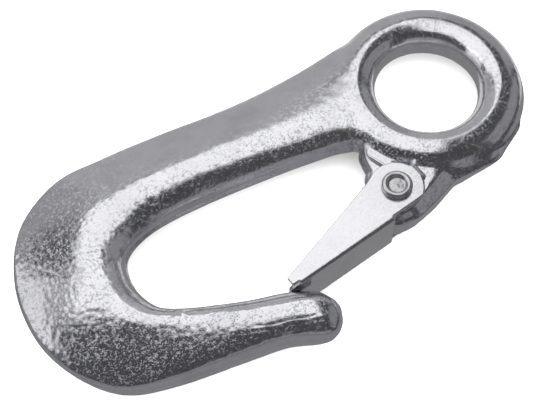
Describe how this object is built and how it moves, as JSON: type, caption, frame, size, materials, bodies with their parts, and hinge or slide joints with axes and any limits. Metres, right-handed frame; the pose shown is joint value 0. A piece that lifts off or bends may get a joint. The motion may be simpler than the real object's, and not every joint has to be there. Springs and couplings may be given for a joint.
{
  "type": "safety snap hook",
  "caption": "Forged flat-pattern hook with a fixed round eye and a spring-loaded sheet-steel safety latch that closes its throat.",
  "frame": {"origin": "centre of the eye's bore at mid thickness, which is the forging's parting plane", "axes": "+Z along the eye's axis, towards the rivet's rolled end; +X along the load line, from the bowl to the eye; the throat and the latch are on the -Y side"},
  "size_m": [0.1018, 0.0527, 0.0115],
  "materials": {
    "forged_steel": "zinc plated over a pebbled forged skin",
    "latch_steel": "bright zinc plated sheet",
    "rivet_steel": "zinc plated",
    "spring_steel": "drawn wire"
  },
  "bodies": {
    "hook": {"hook_body": "forged_steel", "torsion_spring": "spring_steel"},
    "latch": {"latch": "latch_steel", "rivet": "rivet_steel"}
  },
  "joints": [
    {"name": "latch_hinge", "type": "hinge", "parent": "hook", "child": "latch", "pos_m": [-0.0191, -0.0141, 0], "axis": [0, 0, -1], "range_deg": [0, 45], "stiffness_Nm_per_rad": 0.04, "springref_deg": -57.3, "deforming": ["torsion_spring"]}
  ]
}
